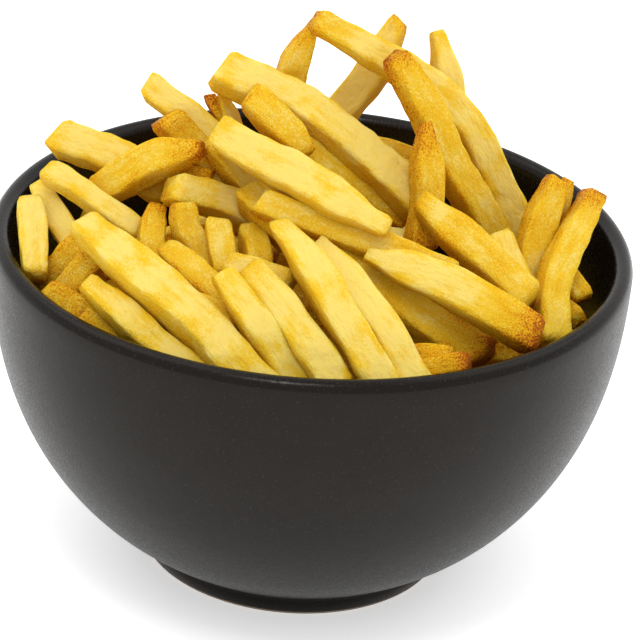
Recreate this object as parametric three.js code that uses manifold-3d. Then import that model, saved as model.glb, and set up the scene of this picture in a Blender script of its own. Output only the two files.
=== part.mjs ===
// A portion of thick-cut french fries heaped in a round stoneware bowl.
// Millimetres, +Z up. The origin is the middle of the foot ring, on the surface the bowl stands on.
// +X is to the diner's right and the diner sits towards -Y.

import * as THREE from 'three';
import { mergeVertices } from 'three/addons/utils/BufferGeometryUtils.js';
import Module from 'manifold-3d';

// ---- Driving dimensions of the bowl ----
const BOWL_HEIGHT = 88;
const RIM_RADIUS = 80; // outer radius at the lip
const LIP_THICKNESS = 5; // the lip is rounded over its whole thickness
const BODY_DEPTH = 92.8; // how deep the outer curve would reach if it closed on the axis
const BODY_FULLNESS = 2.4; // exponent of the outer curve, fuller than an ellipse
const INSIDE_DEPTH = 75; // from the lip down to the inside floor
const INSIDE_FULLNESS = 2.8;
const CREASE_RADIUS = 41; // where the body's curve ends over the foot
const CREASE_UNDERCUT = 1.6;
const FOOT_RADIUS = 39;
const FOOT_CHAMFER = 0.8;
const FOOT_RING_WIDTH = 6;
const FOOT_RECESS = 3.5; // hollow under the bowl, inside the foot ring
const BOWL_SIDES = 44;
const CURVE_STEPS = 10;
const LIP_STEPS = 5;

// ---- Driving dimensions of the heap ----
const GAP = 0.3; // clearance between the heap and the bowl
const BED_LEVEL = 70; // height of the bed of fries at the bowl's axis, before the crown
const BED_TILT = new THREE.Vector2(-0.09, -0.1); // the bed rises to the diner's left and front
const CROWN_HEIGHT = 28;
const CROWN_CENTRE = new THREE.Vector2(-6, -14);
const CROWN_SPREAD = 29;
const LUMP_HEIGHT = 1.3;
const LUMP_LENGTH = new THREE.Vector2(17, 13); // distance from one lump to the next, across and back
const BED_SIDES = 34;
const BED_RINGS = 8;

// ---- Driving dimensions of a fry ----
const FRY_WIDTH = 8.5;
const FRY_DEPTH_SHARE = 0.9; // depth of the section as a share of its width
const FRY_CORNER = 0.17; // bevel of the section's corners as a share of its width
const BOWED_STEPS = 4; // lengths that a bowed fry is built of
const STRAIGHT_STEPS = 2;
const LEAST_BOW = 2; // a fry bowed less than this counts as straight
const LOOSE_FRIES = 15; // lying on the bed all round
const LOOSE_LENGTH = 52;
const LOOSE_REACH = 50; // how far from the axis their middles lie
const LOOSE_SINK = 0.5;
const GOLDEN_ANGLE = Math.PI * (3 - Math.sqrt(5));
const TURN_STEP = 2.1; // radians that each loose fry is turned on from the last

// Fries that stand out of the heap, each from one end to the other. A bow is how far the middle stands
// above the straight line, and a width is given where it isn't the usual one.
const STANDING_FRIES = [
  // the tall ones behind the crown, leaning across each other
  { from: [58, 18, 66], to: [-1, 12, 141], bow: 10, width: 7 },
  { from: [51, 6, 70], to: [18, 2, 133], bow: 4, width: 8 },
  { from: [-5, 18, 84], to: [18, 24, 133], bow: 0, width: 7 },
  { from: [36, 28, 64], to: [26, 25, 132], bow: 1, width: 6 },
  { from: [-10, 18, 82], to: [-4, 14, 136], bow: 0, width: 7 },
  { from: [38, -17, 79], to: [26, -6, 118], bow: 2, width: 7 },
  { from: [62, -21, 70], to: [29, -13, 106], bow: 1 },
  // the long ones that fan from the left over the crown
  { from: [44, -2, 78], to: [-26, 10, 120], bow: 4, width: 10 },
  { from: [38, -14, 84], to: [-17, 2, 119], bow: 2 },
  { from: [34, -25, 87], to: [-25, -4, 114], bow: 2, width: 10 },
  { from: [-4, 4, 96], to: [-43, 20, 114], bow: 0, width: 7 },
  { from: [-8, 2, 96], to: [-39, 12, 109], bow: 1 },
  { from: [-24, 4, 101], to: [-53, 3, 92], bow: 1 },
  { from: [-28, 6, 92], to: [-64, 16, 101], bow: 0 },
  { from: [-40, -15, 90], to: [-66, 4, 96], bow: 1, width: 7 },
  { from: [-60, -24, 78], to: [-68, -8, 92], bow: 0, width: 7 },
  // the front slope, down to the lip
  { from: [-8, -66, 84], to: [-56, -20, 96], bow: 3, width: 10 },
  { from: [-28, -62, 83], to: [-52, -42, 90], bow: 0, width: 7 },
  { from: [42, -55, 79], to: [-18, -20, 101], bow: 3, width: 9 },
  { from: [56, -40, 76], to: [12, -28, 97], bow: 3 },
  { from: [10, -68, 83], to: [-18, -34, 97], bow: 1 },
  { from: [22, -66, 80], to: [-6, -30, 98], bow: 1 },
  { from: [4, -69, 81], to: [-22, -40, 94], bow: 0, width: 7 },
  // the right-hand end, standing against the wall
  { from: [52, -22, 70], to: [59, 1, 104], bow: 0, width: 9 },
  { from: [54, -34, 70], to: [67, -5, 103], bow: 3, width: 7 },
  { from: [50, -24, 72], to: [45, -8, 92], bow: 0, width: 7 },
  { from: [62, -30, 70], to: [67, -12, 82], bow: 0, width: 7 },
];

const wasm = await Module();
wasm.setup();

/** A closed three.js geometry as a solid that can be joined and cut. */
function toSolid(geometry) {
  const bare = geometry.clone();
  bare.deleteAttribute('normal');
  bare.deleteAttribute('uv');
  const merged = mergeVertices(bare, 1e-4);
  const corners = Array.from(merged.index.array);
  const kept = [];
  for (let i = 0; i < corners.length; i += 3) {
    const [a, b, c] = corners.slice(i, i + 3);
    if (a !== b && b !== c && c !== a) kept.push(a, b, c);
  }
  return new wasm.Manifold(new wasm.Mesh({
    numProp: 3,
    vertProperties: new Float32Array(merged.attributes.position.array),
    triVerts: new Uint32Array(kept),
  }));
}

/** The solid back as a three.js geometry. */
function toGeometry(solid) {
  const mesh = solid.getMesh();
  const geometry = new THREE.BufferGeometry();
  geometry.setAttribute('position', new THREE.BufferAttribute(mesh.vertProperties, mesh.numProp));
  geometry.setIndex(new THREE.BufferAttribute(mesh.triVerts, 1));
  geometry.computeVertexNormals();
  return geometry;
}

/** The largest shell of a solid, without the small hollows that its parts shut in between them. */
function outerShell(solid) {
  const shells = solid.decompose();
  return shells.reduce((largest, shell) => (shell.volume() > largest.volume() ? shell : largest));
}

/** Turns a profile of (radius, height) points about the Z axis. */
function turned(profile, sides) {
  return new THREE.LatheGeometry(profile, sides).rotateX(Math.PI / 2);
}

/** The bowl's outer curve at a slope angle: 0 would be the axis and a right angle is the lip. */
function outerPoint(angle) {
  const drop = BODY_DEPTH * Math.cos(angle) ** (2 / BODY_FULLNESS);
  return new THREE.Vector2(RIM_RADIUS * Math.sin(angle), BOWL_HEIGHT - drop);
}

/** The bowl's inside curve at a slope angle, with an even clearance added for what lies in it. */
function innerPoint(angle, clearance = 0) {
  const radius = RIM_RADIUS - LIP_THICKNESS - clearance;
  const drop = (INSIDE_DEPTH - clearance) * Math.cos(angle) ** (2 / INSIDE_FULLNESS);
  return new THREE.Vector2(radius * Math.sin(angle), BOWL_HEIGHT - drop);
}

/** The slope angle at which a curve of this depth and fullness reaches the foot of the rounded lip. */
function lipAngle(depth, fullness) {
  return Math.acos((LIP_THICKNESS / 2 / depth) ** (fullness / 2));
}

/** The bowl's closed profile, grown outwards all round by a margin. */
function bowlProfile(margin = 0) {
  const profile = [];
  profile.push(new THREE.Vector2(0, FOOT_RECESS - margin));
  profile.push(new THREE.Vector2(FOOT_RADIUS - FOOT_RING_WIDTH - margin, FOOT_RECESS - margin));
  profile.push(new THREE.Vector2(FOOT_RADIUS - FOOT_RING_WIDTH - margin, -margin));
  profile.push(new THREE.Vector2(FOOT_RADIUS - FOOT_CHAMFER + margin, -margin));
  profile.push(new THREE.Vector2(FOOT_RADIUS + margin, FOOT_CHAMFER - margin));
  const bodyStart = Math.asin(CREASE_RADIUS / RIM_RADIUS);
  profile.push(new THREE.Vector2(FOOT_RADIUS + margin, outerPoint(bodyStart).y - CREASE_UNDERCUT));
  const bodyEnd = lipAngle(BODY_DEPTH, BODY_FULLNESS);
  for (let i = 0; i <= CURVE_STEPS; i += 1) {
    const point = outerPoint(THREE.MathUtils.lerp(bodyStart, bodyEnd, i / CURVE_STEPS));
    profile.push(new THREE.Vector2(point.x + margin, point.y));
  }
  const lipRadius = LIP_THICKNESS / 2;
  for (let i = 1; i < LIP_STEPS; i += 1) {
    const angle = (Math.PI * i) / LIP_STEPS;
    profile.push(new THREE.Vector2(
      RIM_RADIUS - lipRadius + (lipRadius + margin) * Math.cos(angle),
      BOWL_HEIGHT - lipRadius + (lipRadius + margin) * Math.sin(angle),
    ));
  }
  const insideEnd = lipAngle(INSIDE_DEPTH - margin, INSIDE_FULLNESS);
  for (let i = CURVE_STEPS; i >= 0; i -= 1) {
    profile.push(innerPoint((insideEnd * i) / CURVE_STEPS, margin));
  }
  return profile;
}

/** Height of the bed of fries over a point of the bowl, with its crown and its lumps. */
function bedHeight(x, y) {
  const across = x - CROWN_CENTRE.x;
  const back = y - CROWN_CENTRE.y;
  const crown = CROWN_HEIGHT * Math.exp(-(across ** 2 + back ** 2) / (2 * CROWN_SPREAD ** 2));
  const turnAcross = (2 * Math.PI * x) / LUMP_LENGTH.x;
  const turnBack = (2 * Math.PI * y) / LUMP_LENGTH.y;
  const lumps = LUMP_HEIGHT * (Math.sin(turnAcross + y / LUMP_LENGTH.y) + Math.cos(turnBack));
  return BED_LEVEL + BED_TILT.x * x + BED_TILT.y * y + crown + lumps;
}

/** The bed: it fills the bowl's inside up to its own uneven top. */
function bedGeometry() {
  const profile = [];
  for (let i = 0; i <= CURVE_STEPS; i += 1) {
    profile.push(innerPoint((lipAngle(INSIDE_DEPTH, INSIDE_FULLNESS) * i) / CURVE_STEPS));
  }
  const edge = profile[profile.length - 1];
  const topLevel = edge.y + LIP_THICKNESS;
  for (let i = BED_RINGS; i >= 0; i -= 1) {
    profile.push(new THREE.Vector2((edge.x * i) / BED_RINGS, topLevel));
  }
  const geometry = turned(profile, BED_SIDES);
  const place = geometry.attributes.position;
  for (let i = 0; i < place.count; i += 1) {
    const top = bedHeight(place.getX(i), place.getY(i));
    if (place.getZ(i) > topLevel - 1) place.setZ(i, top);
    else place.setZ(i, Math.min(place.getZ(i), top - 1));
  }
  return geometry;
}

/** One fry: a bevelled bar swept along its own slightly bowed line. */
function fryGeometry(from, to, width, bow) {
  const half = width / 2;
  const depth = half * FRY_DEPTH_SHARE;
  const bevel = width * FRY_CORNER;
  const section = new THREE.Shape([
    new THREE.Vector2(half, bevel - depth),
    new THREE.Vector2(half, depth - bevel),
    new THREE.Vector2(half - bevel, depth),
    new THREE.Vector2(bevel - half, depth),
    new THREE.Vector2(-half, depth - bevel),
    new THREE.Vector2(-half, bevel - depth),
    new THREE.Vector2(bevel - half, -depth),
    new THREE.Vector2(half - bevel, -depth),
  ]);
  const middle = from.clone().lerp(to, 0.5);
  middle.z += 2 * bow;
  const line = new THREE.QuadraticBezierCurve3(from, middle, to);
  const steps = bow > LEAST_BOW ? BOWED_STEPS : STRAIGHT_STEPS;
  return new THREE.ExtrudeGeometry(section, { steps, extrudePath: line });
}

/** A loose fry on the bed, the nth of them, laid along the slope it lies on. */
function looseFry(n) {
  const turn = n * GOLDEN_ANGLE;
  const reach = LOOSE_REACH * Math.sqrt((n + 0.5) / LOOSE_FRIES);
  const heading = n * TURN_STEP;
  const arm = new THREE.Vector2(Math.cos(heading), Math.sin(heading)).multiplyScalar(LOOSE_LENGTH / 2);
  const centre = new THREE.Vector2(Math.cos(turn), Math.sin(turn)).multiplyScalar(reach);
  const longest = RIM_RADIUS - LIP_THICKNESS - FRY_WIDTH;
  const ends = [centre.clone().sub(arm), centre.clone().add(arm)].map((end) => {
    end.clampLength(0, longest);
    return new THREE.Vector3(end.x, end.y, bedHeight(end.x, end.y) - LOOSE_SINK);
  });
  return fryGeometry(ends[0], ends[1], FRY_WIDTH, 1);
}

/** The whole heap as one solid, cut clear of the bowl that holds it. */
function heapSolid() {
  let heap = toSolid(bedGeometry());
  for (let n = 0; n < LOOSE_FRIES; n += 1) {
    heap = heap.add(toSolid(looseFry(n)));
  }
  for (const { from, to, bow, width = FRY_WIDTH } of STANDING_FRIES) {
    const fry = fryGeometry(new THREE.Vector3(...from), new THREE.Vector3(...to), width, bow);
    heap = heap.add(toSolid(fry));
  }
  return outerShell(heap.subtract(toSolid(turned(bowlProfile(GAP), BOWL_SIDES))));
}

const stoneware = new THREE.MeshStandardMaterial({ color: 0x2f2c2a, roughness: 0.42, metalness: 0 });
const friedPotato = new THREE.MeshStandardMaterial({ color: 0xebc24a, roughness: 0.6, metalness: 0 });

const bowl = new THREE.Mesh(turned(bowlProfile(), BOWL_SIDES), stoneware);
bowl.name = 'bowl';

const friesHeap = new THREE.Mesh(toGeometry(heapSolid()), friedPotato);
friesHeap.name = 'fries_heap';

const portion = new THREE.Group();
portion.add(bowl, friesHeap);

export default portion;
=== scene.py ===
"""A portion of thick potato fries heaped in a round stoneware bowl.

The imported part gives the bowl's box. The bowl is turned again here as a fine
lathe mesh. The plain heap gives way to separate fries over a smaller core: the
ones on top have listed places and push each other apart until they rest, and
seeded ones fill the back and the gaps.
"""

import logging
import math
from dataclasses import dataclass, field
from enum import Enum

import bpy
import numpy as np
from mathutils import Matrix, Vector


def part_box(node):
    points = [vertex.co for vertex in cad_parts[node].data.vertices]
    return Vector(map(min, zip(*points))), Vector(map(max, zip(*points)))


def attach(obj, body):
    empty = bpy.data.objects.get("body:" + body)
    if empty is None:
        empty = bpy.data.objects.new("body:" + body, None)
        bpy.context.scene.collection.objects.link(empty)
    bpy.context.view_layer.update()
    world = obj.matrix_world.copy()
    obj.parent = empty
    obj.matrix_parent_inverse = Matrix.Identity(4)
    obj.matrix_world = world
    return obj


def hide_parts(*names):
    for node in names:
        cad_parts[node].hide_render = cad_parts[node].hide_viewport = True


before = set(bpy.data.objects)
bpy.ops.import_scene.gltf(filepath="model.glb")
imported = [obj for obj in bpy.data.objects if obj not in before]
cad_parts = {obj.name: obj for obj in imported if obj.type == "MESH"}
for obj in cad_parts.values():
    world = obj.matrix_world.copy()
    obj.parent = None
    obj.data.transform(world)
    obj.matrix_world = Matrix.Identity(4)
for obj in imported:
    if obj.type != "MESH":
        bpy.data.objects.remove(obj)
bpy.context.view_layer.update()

MM = 0.001
BODY = "root"
BOWL_NODE = "bowl"
HEAP_NODE = "fries_heap"
LOG = logging.getLogger("fries")

# A fry's thickness as a share of its width, and how square its section is: 2 is round.
THICKNESS_SHARE = 0.92
SQUARENESS = 6.5

# Sections of the mesh nearer to the axis than this are one point on it.
ON_AXIS_MM = 0.01

# A run of a fry is taken as at least this long, in millimetres, so that a slope stays finite.
LEAST_RUN_MM = 1e-6

# The inputs of a colour mix node by number: its share, and the colours it mixes.
SHARE, FIRST, SECOND = 0, 6, 7

Place = tuple[float, float, float]
Span = tuple[float, float]
Colour = tuple[float, float, float, float]


# ---------------------------------------------------------------- small tools


def linear(hex_colour: str) -> Colour:
    """Turns an sRGB hex colour into the linear colour that Blender's sockets take.

    Args:
        hex_colour: such as "#e8c060".

    Returns:
        Red, green, blue and an alpha of 1, each from 0 to 1.
    """
    channels = [int(hex_colour[i : i + 2], 16) / 255 for i in (1, 3, 5)]
    red, green, blue = [c / 12.92 if c <= 0.04045 else ((c + 0.055) / 1.055) ** 2.4 for c in channels]
    return red, green, blue, 1.0


def add_node(tree: bpy.types.NodeTree, kind: str, inputs: dict | None = None, **settings) -> bpy.types.Node:
    """Adds one node to a tree with its settings and links.

    Args:
        tree: the node tree that the node joins.
        kind: Blender's name for the kind of node.
        inputs: for each input's name or number, a value or the socket that feeds it.
        settings: the node's own properties.

    Returns:
        The new node.
    """
    node = tree.nodes.new(kind)
    for name, value in settings.items():
        setattr(node, name, value)
    for key, value in (inputs or {}).items():
        if isinstance(value, bpy.types.NodeSocket):
            tree.links.new(value, node.inputs[key])
        else:
            node.inputs[key].default_value = value
    return node


def set_stops(ramp: bpy.types.ColorRamp, stops: list[tuple[float, Colour]]) -> None:
    """Gives a colour ramp its stops.

    Args:
        ramp: the ramp of a colour ramp node.
        stops: each stop's place along the ramp and its linear colour.
    """
    while len(ramp.elements) < len(stops):
        ramp.elements.new(1.0)
    for element, (place, colour) in zip(ramp.elements, stops):
        element.position = place
        element.color = colour


def new_material(name: str) -> tuple[bpy.types.Material, bpy.types.NodeTree]:
    """Makes an empty node material.

    Args:
        name: the material's name.

    Returns:
        The material and its cleared node tree.
    """
    material = bpy.data.materials.new(name)
    material.use_nodes = True
    material.node_tree.nodes.clear()
    return material, material.node_tree


def unit(vector: np.ndarray) -> np.ndarray:
    """Scales each vector along the last axis to a length of 1."""
    return vector / np.linalg.norm(vector, axis=-1, keepdims=True)


def smooth_step(low: float, high: float, value: np.ndarray) -> np.ndarray:
    """Eases from 0 at low to 1 at high."""
    share = np.clip((value - low) / (high - low), 0.0, 1.0)
    return share * share * (3.0 - 2.0 * share)


def lengths_along(line: np.ndarray) -> np.ndarray:
    """Measures how far each row of a line is from its first, along the line."""
    return np.concatenate([[0.0], np.cumsum(np.linalg.norm(np.diff(line, axis=0), axis=1))])


# ------------------------------------------------------------------- finishes


@dataclass(frozen=True)
class SatinBlackGlaze:
    """Stoneware dipped in a satin black iron glaze and fired.

    The glaze melts to a fine matt skin, so highlights spread into a soft grey
    sheen with small bright flecks, strongest where the eye grazes the wall.
    Iron in it warms what it mirrors a little.

    Bumps are a strength and a depth in millimetres. fleck_at and rough_at are
    the stretches of the grit, which goes from 0 to 1, over which the flecks and
    the roughness come up, and rough_spread is what the roughness changes by.
    """

    name: str = "satin_black_glaze"
    colour: str = "#14110e"
    pooled: str = "#0c0a09"
    fleck: str = "#342f29"
    roughness: float = 0.34
    shine: float = 0.18
    # Painted shade: the shine drops to this value at the foot, over the height below.
    foot_shade_shine: float = 0.03
    foot_shade_height_mm: float = 55.0
    sheen_tint: str = "#fff5ec"
    ior: float = 1.5
    grit_mm: float = 0.55
    grit_detail: float = 2.0
    grit_fineness: float = 0.6
    grit_bump: Span = (0.35, 0.12)
    ripple_mm: float = 9.0
    ripple_detail: float = 3.0
    ripple_bump: Span = (0.25, 0.3)
    fleck_at: Span = (0.63, 0.74)
    rough_at: Span = (0.35, 0.7)
    rough_spread: Span = (-0.07, 0.12)

    def material(self) -> bpy.types.Material:
        """Builds the glaze.

        Returns:
            The material.
        """
        material, tree = new_material(self.name)
        coords = add_node(tree, "ShaderNodeTexCoord")
        grit = add_node(
            tree, "ShaderNodeTexNoise",
            {
                "Vector": coords.outputs["Object"], "Scale": 1 / (self.grit_mm * MM),
                "Detail": self.grit_detail, "Roughness": self.grit_fineness,
            },
        )
        ripple = add_node(
            tree, "ShaderNodeTexNoise",
            {
                "Vector": coords.outputs["Object"], "Scale": 1 / (self.ripple_mm * MM),
                "Detail": self.ripple_detail,
            },
        )
        body = add_node(
            tree, "ShaderNodeMix",
            {SHARE: ripple.outputs["Fac"], FIRST: linear(self.pooled), SECOND: linear(self.colour)},
            data_type="RGBA",
        )
        flecks = add_node(
            tree, "ShaderNodeMapRange",
            {"Value": grit.outputs["Fac"], "From Min": self.fleck_at[0], "From Max": self.fleck_at[1]},
        )
        colour = add_node(
            tree, "ShaderNodeMix",
            {SHARE: flecks.outputs[0], FIRST: body.outputs[2], SECOND: linear(self.fleck)},
            data_type="RGBA",
        )
        roughness = add_node(
            tree, "ShaderNodeMapRange",
            {
                "Value": grit.outputs["Fac"], "From Min": self.rough_at[0], "From Max": self.rough_at[1],
                "To Min": self.roughness + self.rough_spread[0],
                "To Max": self.roughness + self.rough_spread[1],
            },
        )
        # Painted shade: the shine fades towards the foot, so the lower wall mirrors less of the white
        # floor, as if the floor round the foot were darker.
        height = add_node(tree, "ShaderNodeSeparateXYZ", {0: coords.outputs["Object"]})
        shine = add_node(
            tree, "ShaderNodeMapRange",
            {
                "Value": height.outputs["Z"], "From Min": 0.0, "From Max": self.foot_shade_height_mm * MM,
                "To Min": self.foot_shade_shine, "To Max": self.shine,
            },
        )
        fine = add_node(
            tree, "ShaderNodeBump",
            {
                "Height": grit.outputs["Fac"], "Strength": self.grit_bump[0],
                "Distance": self.grit_bump[1] * MM,
            },
        )
        waves = add_node(
            tree, "ShaderNodeBump",
            {
                "Height": ripple.outputs["Fac"], "Strength": self.ripple_bump[0],
                "Distance": self.ripple_bump[1] * MM, "Normal": fine.outputs[0],
            },
        )
        shader = add_node(
            tree, "ShaderNodeBsdfPrincipled",
            {
                "Base Color": colour.outputs[2], "Roughness": roughness.outputs[0],
                "Normal": waves.outputs[0], "IOR": self.ior, "Specular IOR Level": shine.outputs[0],
                "Specular Tint": linear(self.sheen_tint),
            },
        )
        add_node(tree, "ShaderNodeOutputMaterial", {"Surface": shader.outputs[0]})
        return material


@dataclass(frozen=True)
class BareStoneware:
    """Unglazed fired clay on the ring that the bowl stands on.

    The foot was wiped clean before firing, so it is dry, pale and gritty.
    """

    colour: str = "#8b7a68"
    grog: str = "#5c4f43"
    roughness: float = 0.85
    ior: float = 1.5
    grog_mm: float = 0.8
    grog_detail: float = 3.0
    grog_bump: Span = (0.5, 0.2)

    def material(self) -> bpy.types.Material:
        """Builds the bare clay.

        Returns:
            The material.
        """
        material, tree = new_material("bare_stoneware")
        coords = add_node(tree, "ShaderNodeTexCoord")
        grog = add_node(
            tree, "ShaderNodeTexNoise",
            {
                "Vector": coords.outputs["Object"], "Scale": 1 / (self.grog_mm * MM),
                "Detail": self.grog_detail,
            },
        )
        colour = add_node(
            tree, "ShaderNodeMix",
            {SHARE: grog.outputs["Fac"], FIRST: linear(self.colour), SECOND: linear(self.grog)},
            data_type="RGBA",
        )
        bump = add_node(
            tree, "ShaderNodeBump",
            {
                "Height": grog.outputs["Fac"], "Strength": self.grog_bump[0],
                "Distance": self.grog_bump[1] * MM,
            },
        )
        shader = add_node(
            tree, "ShaderNodeBsdfPrincipled",
            {
                "Base Color": colour.outputs[2], "Roughness": self.roughness,
                "IOR": self.ior, "Normal": bump.outputs[0],
            },
        )
        add_node(tree, "ShaderNodeOutputMaterial", {"Surface": shader.outputs[0]})
        return material


@dataclass(frozen=True)
class FriedPotato:
    """Potato cut in batons and deep fried: moist starch under a thin crust.

    Light goes a few millimetres into the starch and comes out warm. The crust
    is smooth and pale on the cut faces, sandy gold where it crisped and brown
    at edges and ends, which the mesh marks in its "doneness_and_shading", together
    with painted shade on the faces turned from the eye and painted light on the
    face turned to it. Patterns run along each fry, in its own millimetres, which
    the mesh keeps in its "baton".

    colour_at is how done the potato is where it has each colour, from the flesh's
    to the dark one. crisp_from and crisp_to are how done it is and how strongly
    the sand then shows. Bumps are a strength and a depth in millimetres.
    """

    name: str
    flesh: str = "#e7cd6a"
    straw: str = "#e2ba27"
    gold: str = "#e0ac10"
    brown: str = "#d0870c"
    dark: str = "#984908"
    colour_at: tuple[float, ...] = (0.03, 0.22, 0.47, 0.72, 1.0)
    roughness: float = 0.6
    ior: float = 1.44
    shine: float = 0.13
    sand_mm: float = 0.42
    sand_stretch: float = 1.0
    sand_bump: Span = (0.7, 0.3)
    crisp_from: Span = (0.08, 0.42)
    crisp_to: Span = (0.35, 2.2)
    patch_mm: float = 4.5
    patch_stretch: float = 1.8
    patch_weight: float = 0.75
    streak_mm: float = 1.3
    streak_stretch: float = 6.0
    streak_weight: float = 0.4
    streak_bump: Span = (0.7, 0.5)
    wrinkle_mm: float = 2.6
    wrinkle_stretch: float = 1.5
    wrinkle_bump: Span = (0.9, 1.1)
    detail: float = 3.0
    fineness: float = 0.6
    depth_mm: Place = (4.0, 2.8, 0.6)
    glow: float = 0.45

    def pattern(
        self, tree: bpy.types.NodeTree, baton: bpy.types.NodeSocket, size: float, stretch: float
    ) -> bpy.types.NodeSocket:
        """Adds a pattern of one size that is stretched along the fry.

        Args:
            tree: the material's nodes.
            baton: places in the fry's own millimetres.
            size: of one blotch across the fry, in millimetres.
            stretch: how many times longer it is along the fry.

        Returns:
            The pattern, from about -0.2 to 0.2.
        """
        drawn_out = add_node(
            tree, "ShaderNodeVectorMath", {0: baton, 1: (1, 1, 1 / stretch)}, operation="MULTIPLY"
        )
        blotches = add_node(
            tree, "ShaderNodeTexNoise",
            {
                "Vector": drawn_out.outputs[0], "Scale": 1 / size,
                "Detail": self.detail, "Roughness": self.fineness,
            },
        )
        centred = add_node(
            tree, "ShaderNodeMath", {0: blotches.outputs["Fac"], 1: 0.5}, operation="SUBTRACT"
        )
        return centred.outputs[0]

    def material(self) -> bpy.types.Material:
        """Builds the potato's crust and the starch under it.

        Returns:
            The material.
        """
        material, tree = new_material(self.name)
        baton = add_node(tree, "ShaderNodeAttribute", attribute_name="baton").outputs["Vector"]
        # The mesh's value of how done the potato is, with painted shade and painted light in it.
        doneness_and_shading = add_node(tree, "ShaderNodeAttribute", attribute_name="doneness_and_shading").outputs["Fac"]
        sand = self.pattern(tree, baton, self.sand_mm, self.sand_stretch)
        patches = self.pattern(tree, baton, self.patch_mm, self.patch_stretch)
        streaks = self.pattern(tree, baton, self.streak_mm, self.streak_stretch)
        wrinkles = self.pattern(tree, baton, self.wrinkle_mm, self.wrinkle_stretch)
        crisp = add_node(
            tree, "ShaderNodeMapRange",
            {
                "Value": doneness_and_shading, "From Min": self.crisp_from[0], "From Max": self.crisp_from[1],
                "To Min": self.crisp_to[0], "To Max": self.crisp_to[1],
            },
        ).outputs[0]
        layers = doneness_and_shading
        for layer, weight in ((patches, self.patch_weight), (streaks, self.streak_weight), (sand, crisp)):
            layers = add_node(
                tree, "ShaderNodeMath", {0: layer, 1: weight, 2: layers}, operation="MULTIPLY_ADD"
            ).outputs[0]
        colours = add_node(tree, "ShaderNodeValToRGB", {"Fac": layers})
        cooked = [linear(tone) for tone in (self.flesh, self.straw, self.gold, self.brown, self.dark)]
        set_stops(colours.color_ramp, list(zip(self.colour_at, cooked)))
        grit = add_node(tree, "ShaderNodeMath", {0: sand, 1: crisp}, operation="MULTIPLY")
        surface = {}
        for height, (strength, depth) in (
            (grit.outputs[0], self.sand_bump), (streaks, self.streak_bump), (wrinkles, self.wrinkle_bump)
        ):
            bump = add_node(
                tree, "ShaderNodeBump",
                {"Height": height, "Strength": strength, "Distance": depth * MM, **surface},
            )
            surface = {"Normal": bump.outputs[0]}
        shader = add_node(
            tree, "ShaderNodeBsdfPrincipled",
            {
                "Base Color": colours.outputs["Color"], "Roughness": self.roughness, "IOR": self.ior,
                "Specular IOR Level": self.shine, "Subsurface Weight": self.glow,
                "Subsurface Radius": self.depth_mm, "Subsurface Scale": MM, **surface,
            },
        )
        add_node(tree, "ShaderNodeOutputMaterial", {"Surface": shader.outputs[0]})
        return material


@dataclass(frozen=True)
class WhiteCard:
    """The matt white sheet under the bowl: it only catches a soft shadow."""

    colour: str = "#fbfbfb"
    roughness: float = 0.9
    bounce: float = 0.42

    def material(self) -> bpy.types.Material:
        """Builds the card.

        Returns:
            The material.
        """
        material, tree = new_material("white_card")
        shader = add_node(
            tree, "ShaderNodeBsdfPrincipled",
            {
                "Base Color": linear(self.colour), "Roughness": self.roughness, "Specular IOR Level": 0.0,
                "Emission Color": linear(self.colour), "Emission Strength": self.bounce,
            },
        )
        add_node(tree, "ShaderNodeOutputMaterial", {"Surface": shader.outputs[0]})
        return material


# ----------------------------------------------------------------------- bowl


class Finish(Enum):
    """What covers a face of the bowl, by its number among the mesh's materials."""

    OUTER_GLAZE = 0
    BARE_CLAY = 1
    INNER_GLAZE = 2


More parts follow.
